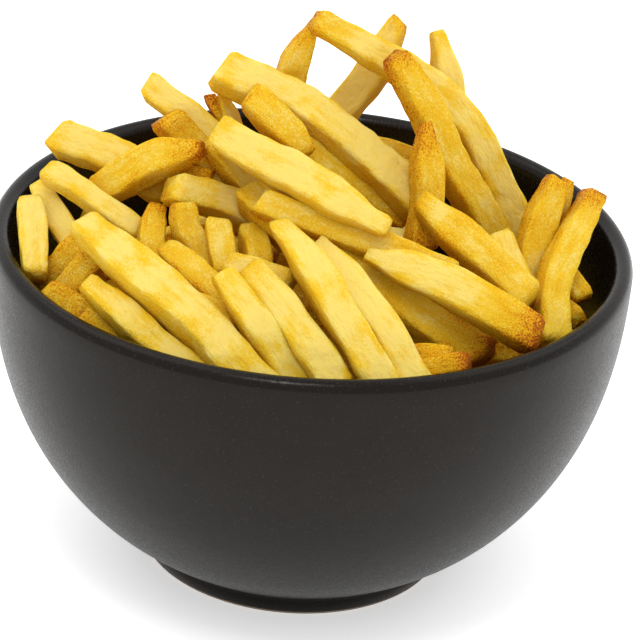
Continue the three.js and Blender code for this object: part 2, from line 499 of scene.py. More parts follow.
@dataclass
class Bowl:
    """The round bowl: an egg-shaped wall, a rolled lip and a turned foot.

    Sizes are in millimetres. The rim's radius and height come from the frame.
    The wall's depths reach down to the axis, where its curves would meet, and
    fullness is how square they are: 2 is an ellipse. The crease is where wall
    and foot meet. The clay is bare up to clay_height, and foot_wear is how much
    the foot's outer edge is worn off.
    """

    rim_radius: float = field(default_factory=lambda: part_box(BOWL_NODE)[1][0] / MM)
    height: float = field(default_factory=lambda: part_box(BOWL_NODE)[1][2] / MM)
    lip: float = 5.0
    depth_outside: float = 92.8
    fullness_outside: float = 2.4
    depth_inside: float = 75.0
    fullness_inside: float = 2.8
    crease_radius: float = 42.5
    crease_undercut: float = 1.6
    crease_round: float = 1.2
    foot_radius: float = 39.0
    foot_edge: float = 0.8
    foot_wear: float = 0.24
    foot_ring: float = 6.0
    foot_recess: float = 3.5
    clay_height: float = 0.9
    glaze_thickness: float = 0.1
    crease_draft: float = 0.2
    inner_roughness: float = 0.22
    # Painted shade: darker than the outer glaze, to darken the inside wall and the lip.
    inner_colour_and_shade: str = "#0e0b09"
    turns: int = 256
    steps: int = 44
    lip_steps: int = 10

    def inner_radius(self, height: np.ndarray) -> np.ndarray:
        """Tells how far the inner wall is from the axis.

        Args:
            height: heights over the floor, in millimetres.

        Returns:
            The radius at each height, and the rim's above it.
        """
        below = np.clip((self.height - height) / self.depth_inside, 0.0, 1.0)
        cosine = below ** (self.fullness_inside / 2)
        return (self.rim_radius - self.lip) * np.sqrt(1 - cosine**2)

    def wall_curve(self, radius: float, depth: float, fullness: float, angles: np.ndarray) -> np.ndarray:
        """Draws one side of the wall as a curve that is round at the bottom and steep at the rim.

        Args:
            radius: at the rim.
            depth: of the whole curve, down to the axis.
            fullness: 2 gives an ellipse, more gives a squarer belly.
            angles: from 0 on the axis to a right angle at the rim.

        Returns:
            Rows of radius and height.
        """
        height = self.height - depth * np.cos(angles) ** (2 / fullness)
        return np.stack([radius * np.sin(angles), height], axis=1)

    def profile(self) -> np.ndarray:
        """Draws the section from the middle of the underside round to the middle inside.

        Returns:
            Rows of radius and height.
        """
        ring_inside = self.foot_radius - self.foot_ring
        start = math.asin(self.crease_radius / self.rim_radius)
        lip_start = math.acos((self.lip / 2 / self.depth_outside) ** (self.fullness_outside / 2))
        outside = self.wall_curve(
            self.rim_radius, self.depth_outside, self.fullness_outside,
            np.linspace(start, lip_start, self.steps),
        )
        inside = self.wall_curve(
            self.rim_radius - self.lip, self.depth_inside, self.fullness_inside,
            np.linspace(lip_start, 0.0, self.steps),
        )
        inside[-1, 0] = 0.0
        crease = outside[0] + [-self.crease_undercut, -self.crease_round]
        foot = [
            [0.0, self.foot_recess], [ring_inside - self.foot_edge, self.foot_recess],
            [ring_inside, self.foot_recess - self.foot_edge], [ring_inside, self.foot_edge],
            [ring_inside + self.foot_edge, 0.0], [self.foot_radius - self.foot_edge, 0.0],
            [self.foot_radius - self.foot_wear, self.foot_wear],
            [self.foot_radius, self.foot_edge], [self.foot_radius + self.glaze_thickness, self.clay_height],
            [crease[0] - self.crease_draft, crease[1] - self.crease_round], crease,
        ]
        outer_edge = outside[-1]
        inner_edge = inside[0]
        middle = (outer_edge + inner_edge) / 2
        half = (outer_edge[0] - inner_edge[0]) / 2
        turns = np.linspace(0, math.pi, self.lip_steps + 2)[1:-1]
        crown = self.height - middle[1]
        lip = np.stack([middle[0] + half * np.cos(turns), middle[1] + crown * np.sin(turns)], axis=1)
        return np.concatenate([np.array(foot), outside, lip, inside])

    def row_finishes(self, profile: np.ndarray) -> list[Finish]:
        """Tells what covers the bowl between each two rows of its section.

        Args:
            profile: the section's rows of radius and height.

        Returns:
            A finish for each row but the last.
        """
        clay_rows = int((profile[:, 1] <= self.clay_height).nonzero()[0].max())
        inner_rows = self.steps + self.lip_steps - 1
        outer_rows = len(profile) - 1 - clay_rows - inner_rows
        return (
            [Finish.BARE_CLAY] * clay_rows + [Finish.OUTER_GLAZE] * outer_rows
            + [Finish.INNER_GLAZE] * inner_rows
        )

    def dressings(self) -> dict[Finish, SatinBlackGlaze | BareStoneware]:
        """Gives what each finish is made of. The glaze ran smoother inside and over the lip, and is
        coloured darker there as painted shade.

        Returns:
            The recipes, in the order of the finishes' numbers.
        """
        inner = SatinBlackGlaze(
            "inner_black_glaze", roughness=self.inner_roughness, colour=self.inner_colour_and_shade
        )
        return {
            Finish.OUTER_GLAZE: SatinBlackGlaze(),
            Finish.BARE_CLAY: BareStoneware(),
            Finish.INNER_GLAZE: inner,
        }

    def build(self) -> bpy.types.Object:
        """Turns the section into the bowl and dresses it.

        Returns:
            The bowl.
        """
        profile = self.profile()
        on_axis = profile[:, 0] < ON_AXIS_MM
        angles = np.linspace(0, 2 * math.pi, self.turns, endpoint=False)
        vertices, rows = [], []
        for (radius, height), single in zip(profile, on_axis):
            first = len(vertices)
            if single:
                vertices.append((0.0, 0.0, height * MM))
                rows.append([first] * self.turns)
                continue
            ring = [(radius * MM * math.cos(a), radius * MM * math.sin(a), height * MM) for a in angles]
            vertices.extend(ring)
            rows.append(list(range(first, first + self.turns)))
        faces, finishes = [], []
        for finish, low, high in zip(self.row_finishes(profile), rows[:-1], rows[1:]):
            for k in range(self.turns):
                after = (k + 1) % self.turns
                corners = dict.fromkeys((low[k], low[after], high[after], high[k]))
                faces.append(tuple(corners))
                finishes.append(finish.value)
        mesh = bpy.data.meshes.new("stoneware_bowl")
        mesh.from_pydata(vertices, [], faces)
        mesh.polygons.foreach_set("use_smooth", [True] * len(faces))
        mesh.polygons.foreach_set("material_index", finishes)
        for dressing in self.dressings().values():
            mesh.materials.append(dressing.material())
        piece = bpy.data.objects.new("stoneware_bowl", mesh)
        bpy.context.scene.collection.objects.link(piece)
        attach(piece, BODY)
        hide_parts(BOWL_NODE)
        return piece


# ----------------------------------------------------------- where fries lie


@dataclass(frozen=True)
class Sight:
    """A direction from which fries are put on the heap.

    A place is turned into how far it is to the right, how far up, and how near
    the eye. A fry slides along its sight lines until it rests.
    """

    centre: np.ndarray
    right: np.ndarray
    up: np.ndarray
    toward: np.ndarray
    distance: float = math.inf

    def flatten(self, places: np.ndarray) -> np.ndarray:
        """Sorts places by their sight lines.

        Args:
            places: rows of x, y, z in millimetres.

        Returns:
            Rows of right, up and nearness.
        """
        offset = places - self.centre
        near = offset @ self.toward
        spread = 1 - near / self.distance
        return np.stack([offset @ self.right / spread, offset @ self.up / spread, near], axis=-1)

    def restore(self, flat: np.ndarray) -> np.ndarray:
        """Turns rows of right, up and nearness back into places.

        Args:
            flat: the rows, as flatten gives them.

        Returns:
            Rows of x, y, z in millimetres.
        """
        spread = 1 - flat[..., 2:3] / self.distance
        across = flat[..., 0:1] * spread * self.right + flat[..., 1:2] * spread * self.up
        return self.centre + across + flat[..., 2:3] * self.toward


@dataclass(frozen=True)
class Viewpoint:
    """Where the portion is looked at from. Lengths are in millimetres."""

    aim: Place = (3.3, 0.0, 63.4)
    eye: Place = (0.0, -675.0, 408.3)
    tilt_degrees: float = 4.25
    focal_length: float = 168.75
    sensor: float = 36.0
    clip_start_m: float = 0.01

    def sight(self) -> Sight:
        """Gives the sight lines that meet at the eye.

        Returns:
            The sight, with its right and up turned by the tilt.
        """
        aim = np.array(self.aim)
        offset = np.array(self.eye) - aim
        toward = unit(offset)
        level = unit(np.cross([0.0, 0.0, 1.0], toward))
        upright = np.cross(toward, level)
        tilt = math.radians(self.tilt_degrees)
        right = math.cos(tilt) * level + math.sin(tilt) * upright
        up = math.cos(tilt) * upright - math.sin(tilt) * level
        return Sight(aim, right, up, toward, float(np.linalg.norm(offset)))

    def camera(self) -> bpy.types.Object:
        """Sets up the camera at the eye.

        Returns:
            The camera.
        """
        sight = self.sight()
        data = bpy.data.cameras.new("camera")
        data.lens = self.focal_length
        data.sensor_width = self.sensor
        data.clip_start = self.clip_start_m
        camera = bpy.data.objects.new("camera", data)
        axes = Matrix([sight.right, sight.up, sight.toward]).transposed()
        camera.matrix_world = Matrix.Translation(Vector(self.eye) * MM) @ axes.to_4x4()
        bpy.context.scene.collection.objects.link(camera)
        bpy.context.scene.camera = camera
        return camera


class Kind(Enum):
    """How far a fry was cooked."""

    PALE = "pale_fries"
    GOLDEN = "golden_fries"
    BROWNED = "browned_fries"


@dataclass(frozen=True)
class Fry:
    """One fry and the places that it passes, in millimetres.

    A place is x, y and how high it is over the bowl's rim. Seen from where it is
    laid, the fry looks as wide as width says, with its face turned away by
    roll degrees. ends tells what share of the width is left at either end, and
    burn how browned the ends are. A standing fry stays where it is put.
    """

    kind: Kind
    width: float
    path: tuple[Place, ...]
    roll: float = 20.0
    ends: tuple[float, float] = (1.0, 1.0)
    standing: bool = False
    burn: tuple[float, float] = (0.12, 0.12)


PALE, GOLDEN, BROWNED = Kind.PALE, Kind.GOLDEN, Kind.BROWNED

# Fries that stick up out of the heap, from the back to the front.
TALL_FRIES = (
    Fry(GOLDEN, 6.5, ((5, 29, 12), (11, 29, 11), (27, 28, 8), (38, 26, 4)), standing=True),
    Fry(PALE, 8.2, ((35, 21, 8), (32, 24, 27), (30, 25, 36), (27, 27, 45)), 25, (1.0, 0.5), True),
    Fry(PALE, 8.8, ((-4, 17, 11), (1, 19, 19), (12, 22, 35), (18, 25, 48)),
        15, (1.0, 0.6), True, (0.1, 0.35)),
    Fry(GOLDEN, 8.0, ((-10, 12, 8), (-9, 13, 27), (-8, 14, 37), (-3, 14, 51)),
        20, (1.0, 0.35), True, (0.1, 0.3)),
    Fry(PALE, 8.8, ((52, 16, -12), (51, 16, -2), (46, 16, 9), (32, 15, 30), (13, 13, 43), (-3, 12, 52)),
        15, (1.1, 0.7), True, (0.1, 0.3)),
    Fry(GOLDEN, 9.2, ((49, 4, -10), (44, 4, 1), (30, 3, 25), (17, 4, 47)),
        25, (1.0, 0.8), True, (0.1, 0.3)),
    Fry(BROWNED, 4.0, ((-18, 8, 12), (-24, 11, 23), (-28, 14, 29)), 10, (1.1, 0.8), True, (0.1, 0.5)),
    Fry(PALE, 4.5, ((-17, 8, 12), (-21, 10, 21), (-26, 13, 32)), 25, (1.0, 0.35), True),
)

# The rest, in the order that they went on, so that a later one lies over an earlier one.
CROSSED_FRIES = (
    Fry(GOLDEN, 6.5, ((-5, -1, 24), (22, -10, 9)), 20, burn=(0.1, 0.5)),
    Fry(PALE, 11.2, ((-26, 10, 38), (-5, 4, 31), (27, -2, 10)), 28),
    Fry(GOLDEN, 8.8, ((-18, 0, 36), (-3, -5, 23)), 20, (0.85, 0.6), burn=(0.15, 0.25)),
)
LEFT_FRIES = (
    Fry(PALE, 7.0, ((-44, 20, 28), (-27, 8, 21), (-19, 2, 17)), 5),
    Fry(GOLDEN, 8.5, ((-39, 12, 23), (-25, 0, 14)), 20, burn=(0.35, 0.1)),
    Fry(PALE, 10.0, ((-65, 13, 15), (-43, 3, 11), (-36, 0, 8)), 15),
    Fry(GOLDEN, 7.5, ((-30, 6, 17), (-20, -12, 11)), 30),
    Fry(GOLDEN, 7.0, ((-27, 10, 18), (-12, -13, 11)), 30),
    Fry(BROWNED, 6.0, ((-38, -2, 13), (-26, -4, 14)), 10),
    Fry(GOLDEN, 9.6, ((-55, 2, 5), (-42, 4, 13), (-29, 4, 19)), 20, (0.9, 0.55), burn=(0.2, 0.45)),
    Fry(PALE, 6.5, ((-69, 0, 7), (-60, -13, 1), (-56, -18, -3)), 10, (0.75, 1.0)),
    Fry(PALE, 6.6, ((-67, 1, 11), (-54, -8, 8), (-42, -17, 4)), 30),
    Fry(BROWNED, 7.5, ((-54, -24, 5), (-65, -28, -7)), 20),
    Fry(PALE, 7.4, ((-70, -9, 7), (-66, -26, -5)), 15),
    Fry(GOLDEN, 6.8, ((-39, -12, 9), (-39, -24, 7), (-36, -36, 3)), 20, (0.8, 1.0), burn=(0.5, 0.2)),
    Fry(PALE, 8.6, ((-36, -6, 12), (-24, -11, 12), (-10, -20, 9)), 18),
    Fry(GOLDEN, 7.5, ((-32, -12, 11), (-31, -19, 9), (-22, -39, 4)), 25, (0.85, 1.0), burn=(0.2, 0.1)),
    Fry(PALE, 6.5, ((-23, -18, 9), (-20, -38, 5)), 10),
    Fry(GOLDEN, 7.3, ((-15, -21, 9), (-12, -36, 6)), 20),
    Fry(GOLDEN, 8.0, ((-35, -29, 6), (-27, -39, 5), (-18, -48, 2)), 30, (0.8, 1.0)),
)
RIGHT_FRIES = (
    Fry(GOLDEN, 6.0, ((61, -8, 0), (67, -17, -5)), 15),
    Fry(GOLDEN, 5.0, ((60, -16, -6), (66, -24, -7)), 10),
    Fry(BROWNED, 5.0, ((43, -54, -3), (56, -44, -5)), 15, burn=(0.1, 0.6)),
    Fry(GOLDEN, 4.6, ((58, -6, 8), (62, 3, 18)), 20, (1.0, 0.6), burn=(0.1, 0.3)),
    Fry(GOLDEN, 8.8, ((53, -22, -8), (53, -19, -4), (55, -7, 8), (59, 2, 18)),
        20, (1.0, 0.75), burn=(0.1, 0.35)),
    Fry(PALE, 8.0, ((45, -8, 6), (52, -23, -4)), 30),
    Fry(GOLDEN, 8.4, ((60, -29, -12), (59, -20, 0), (63, -12, 9), (68, -4, 18)),
        20, (1.1, 0.8), burn=(0.1, 0.5)),
    Fry(GOLDEN, 8.4, ((26, -19, 6), (27, -12, 18), (25, -6, 34)), 25, (1.0, 0.45), burn=(0.5, 0.55)),
    Fry(GOLDEN, 9.8, ((54, -19, -6), (41, -18, 5), (25, -14, 17)), 22, (1.0, 0.6), burn=(0.1, 0.1)),
)
FRONT_FRIES = (
    Fry(PALE, 6.5, ((-20, -34, 6), (-4, -40, 5)), 15),
    Fry(GOLDEN, 8.3, ((-11, -60, 1), (-1, -69, -7)), 25),
    Fry(GOLDEN, 7.5, ((-28, -49, 2), (-16, -57, 1)), 25),
    Fry(BROWNED, 7.0, ((-50, -31, 5), (-58, -38, -3)), 15),
    Fry(BROWNED, 7.0, ((-63, -32, -6), (-49, -48, -4)), 15),
    Fry(BROWNED, 6.8, ((-53, -44, -5), (-37, -58, -5)), 20),
    Fry(PALE, 9.3, ((-15, -37, 6), (-5, -51, 2), (9, -70, -8)), 20, (0.85, 1.0), burn=(0.3, 0.1)),
    Fry(GOLDEN, 11.2, ((-17, -7, 12), (-8, -18, 10), (9, -35, 8), (23, -48, 4), (42, -58, -2)), 28,
        (0.8, 0.9), burn=(0.05, 0.7)),
    Fry(BROWNED, 4.5, ((23, -63, 1), (34, -61, 0)), 15),
    Fry(GOLDEN, 5.5, ((24, -67, -2), (38, -60, -2)), 15, burn=(0.1, 0.5)),
    Fry(GOLDEN, 7.8, ((-14, -10, 12), (12, -24, 10), (35, -34, 9)), 15, (0.9, 0.5), burn=(0.05, 0.1)),
    Fry(PALE, 9.8, ((13, -29, 9), (33, -41, 8), (54, -49, 0)), 12, (0.4, 1.0), burn=(0.0, 0.95)),
    Fry(PALE, 9.8, ((-25, -4, 27), (18, -21, 12)), 12, (0.95, 0.5)),
    Fry(PALE, 8.2, ((1, -25, 9), (12, -43, 5), (28, -66, -8)), 15, (0.6, 1.0)),
    Fry(PALE, 8.8, ((-8, -21, 11), (4, -44, 6), (20, -69, -8)), 15, (0.65, 1.0)),
    Fry(PALE, 7.8, ((-21, -38, 6), (-10, -58, 0), (0, -72, -8)), 20, (0.8, 1.0), burn=(0.0, 0.2)),
    Fry(PALE, 8.0, ((-53, -41, 2), (-36, -56, -4), (-19, -71, -10)), 25, (0.7, 1.0)),
    Fry(PALE, 11.2, ((-56, -21, 8), (-34, -46, 3), (-4, -73, -11)), 25, (0.75, 1.0)),
)


@dataclass
class Core:
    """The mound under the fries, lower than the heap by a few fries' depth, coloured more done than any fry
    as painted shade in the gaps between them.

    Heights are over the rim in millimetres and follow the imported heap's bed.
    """

    level: float = -18.0
    lean: tuple[float, float] = (-0.09, -0.1)
    crown: float = 28.0
    crown_at: tuple[float, float] = (-6.0, -14.0)
    crown_spread: float = 29.0
    depth_of_fries: float = 19.0
    gap: float = 0.6
    rings: int = 30
    wall_rings: int = 12
    sides: int = 96
    # Painted shade: more done than any fry, so that where the mound shows between fries it reads as shade.
    doneness_and_shading: float = 0.6

    def top(self, x: np.ndarray, y: np.ndarray) -> np.ndarray:
        """Tells how high the mound is over the rim.

        Args:
            x: places across, in millimetres.
            y: places from front to back, in millimetres.

        Returns:
            The height at each place.
        """
        away = ((x - self.crown_at[0]) ** 2 + (y - self.crown_at[1]) ** 2) / (2 * self.crown_spread**2)
        slope = self.lean[0] * x + self.lean[1] * y
        return self.level + slope + self.crown * np.exp(-away) - self.depth_of_fries

    def build(self, bowl: Bowl) -> bpy.types.Object:
        """Makes the mound inside the bowl and dresses it.

        Args:
            bowl: the bowl that holds it.

        Returns:
            The mound.
        """
        angles = np.linspace(0, 2 * math.pi, self.sides, endpoint=False)
        vertices = [(0.0, 0.0, self.top(np.array(0.0), np.array(0.0)) + bowl.height)]
        for ring in range(1, self.rings + 1):
            share = ring / self.rings
            guess = share * (bowl.rim_radius - bowl.lip - self.gap)
            x, y = guess * np.cos(angles), guess * np.sin(angles)
            height = self.top(x, y) + bowl.height
            reach = share * (bowl.inner_radius(height) - self.gap)
            vertices.extend(zip(reach * np.cos(angles), reach * np.sin(angles), height))
        edge = np.array(vertices[-self.sides :])
        floor = bowl.height - bowl.depth_inside
        for share in np.linspace(1, 0, self.wall_rings)[1:-1]:
            height = floor + self.gap + (edge[:, 2] - floor) * share
            reach = bowl.inner_radius(height) - self.gap
            vertices.extend(zip(reach * np.cos(angles), reach * np.sin(angles), height))
        vertices.append((0.0, 0.0, floor + self.gap))
        faces = []
        for k in range(self.sides):
            faces.append((0, 1 + k, 1 + (k + 1) % self.sides))
        ring_count = (len(vertices) - 2) // self.sides
        for ring in range(ring_count - 1):
            first = 1 + ring * self.sides
            for k in range(self.sides):
                after = (k + 1) % self.sides
                faces.append((first + k, first + self.sides + k, first + self.sides + after, first + after))
        last = len(vertices) - 1
        first = last - self.sides
        for k in range(self.sides):
            faces.append((first + k, last, first + (k + 1) % self.sides))
        mesh = bpy.data.meshes.new("under_layer")
        mesh.from_pydata([tuple(float(c) * MM for c in v) for v in vertices], [], faces)
        mesh.polygons.foreach_set("use_smooth", [True] * len(faces))
        doneness_and_shading = mesh.attributes.new("doneness_and_shading", "FLOAT", "POINT")
        doneness_and_shading.data.foreach_set("value", [self.doneness_and_shading] * len(vertices))
        baton = mesh.attributes.new("baton", "FLOAT_VECTOR", "POINT")
        baton.data.foreach_set("vector", np.array(vertices, np.float32).ravel())
        mesh.materials.append(FriedPotato("under_layer_potato", glow=0.0).material())
        piece = bpy.data.objects.new("under_layer", mesh)
        bpy.context.scene.collection.objects.link(piece)
        return piece


@dataclass
class Laid:
    """A fry in its final place: its centre line, face and size at each step."""

    fry: Fry
    line: np.ndarray
    face: np.ndarray
    half_widths: np.ndarray


@dataclass
class Heap:
    """Lays fries over the core, inside the bowl.

    Lengths are in millimetres. taper is the share of the length over which an
    end thins, and plumpness makes up for the section's round corners. squeeze
    is how close crossing fries come, as a share of their two half widths, and
    shoulder how near to side by side they still push. pull draws a fry back to
    its own place in each of the rounds. Fries at the back stay below
    back_height over the rim. Hidden ones rise to bedding over the core, lie no
    lower than deepest under the rim, and need least_shown of their length to be
    clear of the core. overhang is the share of half its width by which a fry
    comes nearer than its middle.
    """

    bowl: Bowl
    core: Core
    step: float = 1.5
    taper: float = 0.34
    plumpness: float = 1.06
    squeeze: float = 0.88
    shoulder: float = 0.86
    most_tilt: float = 0.3
    bedding: float = 14.0
    rounds: int = 150
    pull: float = 0.04
    back_height: float = -9.0
    deepest: float = 50.0
    search: float = 130.0
    search_step: float = 1.0
    clear_of_wall: float = 1.0
    overhang: float = 0.8
    least_shown: float = 0.5
    fewest_steps: int = 8
    laid: list[Laid] = field(default_factory=list)

    def centre_line(self, path: tuple[Place, ...]) -> np.ndarray:
        """Runs a smooth line through a fry's places.

        Args:
            path: places over the rim.

        Returns:
            Rows of x, y, z over the floor, about one step apart.
        """
        knots = np.array(path, float) + [0.0, 0.0, self.bowl.height]
        if len(knots) == 2:
            knots = np.array([knots[0], knots.mean(axis=0), knots[1]])
        spans = np.linalg.norm(np.diff(knots, axis=0), axis=1)
        at = np.concatenate([[0.0], np.cumsum(spans)])
        slopes = np.gradient(knots, at, axis=0)
        count = max(self.fewest_steps, int(at[-1] / self.step))
        wanted = np.linspace(0, at[-1], count)
        index = np.clip(np.searchsorted(at, wanted, side="right") - 1, 0, len(spans) - 1)
        share = ((wanted - at[index]) / spans[index])[:, None]
        span = spans[index][:, None]
        start, end = knots[index], knots[index + 1]
        return (
            (2 * share**3 - 3 * share**2 + 1) * start
            + (share**3 - 2 * share**2 + share) * span * slopes[index]
            + (3 * share**2 - 2 * share**3) * end
            + (share**3 - share**2) * span * slopes[index + 1]
        )

    def half_widths(self, fry: Fry, count: int) -> np.ndarray:
        """Gives half the face's width at each step: full in the middle, less towards a thin end.

        Args:
            fry: the fry.
            count: how many steps its line has.

        Returns:
            The half widths, so that the rolled section looks as wide as the fry says.
        """
        along = np.linspace(0, 1, count)
        start = fry.ends[0] + (1 - fry.ends[0]) * smooth_step(0.0, self.taper, along)
        end = fry.ends[1] + (1 - fry.ends[1]) * smooth_step(0.0, self.taper, 1 - along)
        roll = math.radians(fry.roll)
        power = SQUARENESS / (SQUARENESS - 1)
        seen = math.cos(roll) ** power + (THICKNESS_SHARE * math.sin(roll)) ** power
        return fry.width * self.plumpness / seen ** (1 / power) / 2 * start * end

    def nearest_and_deepest(
        self, sight: Sight, flat: np.ndarray, bedding: float
    ) -> tuple[np.ndarray, np.ndarray]:
        """Follows each sight line through the bowl.

        Args:
            sight: where the fry comes from.
            flat: the fry's rows of right, up and nearness.
            bedding: how much lies over the core.

        Returns:
            For each row, the nearness of the core's surface and of the bowl's front wall.
        """
        depths = np.arange(-self.search, self.search, self.search_step)
        probe = np.repeat(flat[:, None, :], len(depths), axis=1)
        probe[:, :, 2] = depths
        places = sight.restore(probe)
        over_rim = places[..., 2] - self.bowl.height
        radius = np.hypot(places[..., 0], places[..., 1])
        wall = self.bowl.inner_radius(places[..., 2])
        surface = self.core.top(places[..., 0], places[..., 1]) + bedding
        in_core = (over_rim < surface) & (radius < wall)
        core = np.where(in_core, depths, -self.search).max(axis=1)
        inside = radius < np.where(over_rim < 0.0, wall - self.clear_of_wall, wall)
        free = np.where(inside, depths, -self.search).max(axis=1)
        return core, free

    def stacked(self, sight: Sight, flat: np.ndarray, half: np.ndarray) -> tuple[np.ndarray, np.ndarray]:
        """Finds how the fries that are there limit each step of another.

        Args:
            sight: where the fry comes from.
            flat: the fry's rows of right, up and nearness.
            half: half its width at each row.

        Returns:
            For each row, the least nearness that clears them in front, and the most
            that clears them behind.
        """
        over = np.full(len(flat), -self.search)
        under = np.full(len(flat), self.search)
        for other in self.laid:
            there = sight.flatten(other.line)
            spread = 1 - there[:, 2] / sight.distance
            across = np.hypot(flat[:, None, 0] - there[:, 0], flat[:, None, 1] - there[:, 1]) * spread
            reach = half[:, None] + other.half_widths
            share = np.clip(across / reach, 0.0, 1.0)
            stack = reach * self.squeeze * (1 - share**3) ** (1 / 3)
            over = np.maximum(over, np.where(share < 1.0, there[:, 2] + stack, -self.search).max(axis=1))
            under = np.minimum(under, np.where(share < 1.0, there[:, 2] - stack, self.search).min(axis=1))
        return over, under

    def rest(self, along: np.ndarray, lift: np.ndarray) -> np.ndarray:
        """Lets a stiff stick down on what holds it up on either side of its middle.

        Args:
            along: how far each step is along the fry.
            lift: how much each step has to move towards the eye.

        Returns:
            How much each step moves.
        """
        middle = (along[0] + along[-1]) / 2
        before = along <= middle
        after = along >= middle
        run = along[after][None, :] - along[before][:, None]
        rise = lift[after][None, :] - lift[before][:, None]
        tilt = rise / np.maximum(run, LEAST_RUN_MM)
        level = lift[before][:, None] + tilt * (middle - along[before][:, None])
        row, column = np.unravel_index(np.argmax(level), level.shape)
        slope = float(np.clip(tilt[row, column], -self.most_tilt, self.most_tilt))
        return float((lift - slope * along).max()) + slope * along

    def lay(self, fry: Fry, sight: Sight) -> None:
        """Puts one fry on the heap, where it rests on what is there, unless it would stick out.

        Args:
            fry: the fry.
            sight: where it comes from.
        """
        line = self.centre_line(fry.path)
        half = self.half_widths(fry, len(line))
        flat = sight.flatten(line)
        core, _ = self.nearest_and_deepest(sight, flat, 0.0)
        over, _ = self.stacked(sight, flat, half)
        flat[:, 2] += self.rest(lengths_along(line), np.maximum(core + half, over) - flat[:, 2])
        line = sight.restore(flat)
        clear = np.hypot(line[:, 0], line[:, 1]) + half < self.bowl.inner_radius(line[:, 2])
        if clear.all() and line[:, 2].max() < self.bowl.height + self.back_height:
            self.keep(fry, sight, line, half)

    def pile(self, fries: tuple[Fry, ...], sight: Sight) -> None:
        """Puts many fries on the heap at once, each one over those before it.

        Where two cross, the upper one is pushed towards the eye and the lower
        one away from it until they are clear, and each is drawn to its own place.

        Args:
            fries: the fries, the lowest first.
            sight: where they come from.
        """
        lines = [self.centre_line(fry.path) for fry in fries]
        halves = [self.half_widths(fry, len(line)) for fry, line in zip(fries, lines)]
        flats = [sight.flatten(line) for line in lines]
        places = [flat[:, 2].copy() for flat in flats]
        limits = [self.nearest_and_deepest(sight, flat, 0.0) for flat in flats]
        crossings = []
        for j, upper in enumerate(flats):
            for i, lower in enumerate(flats[:j]):
                spread = 1 - lower[:, 2].mean() / sight.distance
                across = spread * np.hypot(lower[:, None, 0] - upper[:, 0], lower[:, None, 1] - upper[:, 1])
                reach = (halves[i][:, None] + halves[j]) * self.shoulder
                rows, columns = np.nonzero(across < reach)
                if len(rows):
                    share = across[rows, columns] / reach[rows, columns]
                    stack = reach[rows, columns] * self.squeeze / self.shoulder * (1 - share**3) ** (1 / 3)
                    crossings.append((i, j, rows, columns, stack))
        for _ in range(self.rounds):
            for i, j, rows, columns, stack in crossings:
                gap = flats[j][columns, 2] - flats[i][rows, 2] - stack
                worst = int(gap.argmin())
                if gap[worst] < 0:
                    self.nudge(fries[i], flats[i], int(rows[worst]), gap[worst] / 2)
                    self.nudge(fries[j], flats[j], int(columns[worst]), -gap[worst] / 2)
            for fry, flat, place, (core, free), half in zip(fries, flats, places, limits, halves):
                if fry.standing:
                    continue
                flat[:, 2] += (place - flat[:, 2]) * self.pull
                sunk = core + half - flat[:, 2]
                if sunk.max() > 0:
                    self.nudge(fry, flat, int(sunk.argmax()), sunk.max())
                proud = flat[:, 2] + half * self.overhang - free
                if proud.max() > 0:
                    self.nudge(fry, flat, int(proud.argmax()), -proud.max())
        for fry, flat, half in zip(fries, flats, halves):
            self.keep(fry, sight, sight.restore(flat), half)

    def nudge(self, fry: Fry, flat: np.ndarray, row: int, push: float) -> None:
        """Pushes a loose fry at one of its rows, so that it shifts and tips as a stiff stick does.

        Args:
            fry: the fry, which doesn't move if it stands.
            flat: its rows of right, up and nearness, changed in place.
            row: where it is pushed.
            push: how far that row moves towards the eye.
        """
        if fry.standing:
            return
        from_middle = np.linspace(-1.0, 1.0, len(flat))
        lever = from_middle[row]
        # An even stick pushed at its end moves there by one part in shifting and three in turning.
        flat[:, 2] += push * (1 + 3 * lever * from_middle) / (1 + 3 * lever**2)

    def tuck(self, fry: Fry, sight: Sight, bedding: float) -> None:
        """Pushes one fry up from below until it touches what lies over it, if it would show at all.

        Args:
            fry: the fry.
            sight: where the heap is seen from.
            bedding: how much lies over the core.
        """
        line = self.centre_line(fry.path)
        half = self.half_widths(fry, len(line))
        flat = sight.flatten(line)
        surface, _ = self.nearest_and_deepest(sight, flat, bedding)
        core, _ = self.nearest_and_deepest(sight, flat, 0.0)
        _, under = self.stacked(sight, flat, half)
        surface = np.where(surface > -self.search, surface, flat[:, 2])
        room = np.minimum(surface, under) - flat[:, 2]
        flat[:, 2] -= self.rest(lengths_along(line), -room)
        shows = (flat[:, 2] > core - half).mean() > self.least_shown
        line = self.kept_inside(sight, flat, half)
        clear = np.hypot(line[:, 0], line[:, 1]) + half < self.bowl.inner_radius(line[:, 2])
        if shows and clear.all() and line[:, 2].min() > self.bowl.height - self.deepest:
            self.keep(fry, sight, line, half)

    def kept_inside(self, sight: Sight, flat: np.ndarray, half: np.ndarray) -> np.ndarray:
        """Pushes a fry back until it is clear of the bowl's front wall.

        Args:
            sight: where the fry comes from.
            flat: its rows of right, up and nearness.
            half: half its width at each row.

        Returns:
            Its rows of x, y, z.
        """
        _, free = self.nearest_and_deepest(sight, flat, 0.0)
        flat[:, 2] -= max(0.0, float((flat[:, 2] + half * self.overhang - free).max()))
        return sight.restore(flat)

    def keep(self, fry: Fry, sight: Sight, line: np.ndarray, half: np.ndarray) -> None:
        """Turns a fry's face as its roll says and adds it to the heap.

        Args:
            fry: the fry.
            sight: where it was laid from.
            line: its centre line.
            half: half its width at each row.
        """
        along_fry = unit(np.gradient(line, axis=0))
        toward = unit(sight.toward - (along_fry @ sight.toward)[:, None] * along_fry)
        side = np.cross(along_fry, toward)
        if side.mean(axis=0) @ (sight.up + 0.5 * sight.right) < 0:
            side = -side
        roll = math.radians(fry.roll)
        face = math.cos(roll) * toward + math.sin(roll) * side
        self.laid.append(Laid(fry, line, face, half))


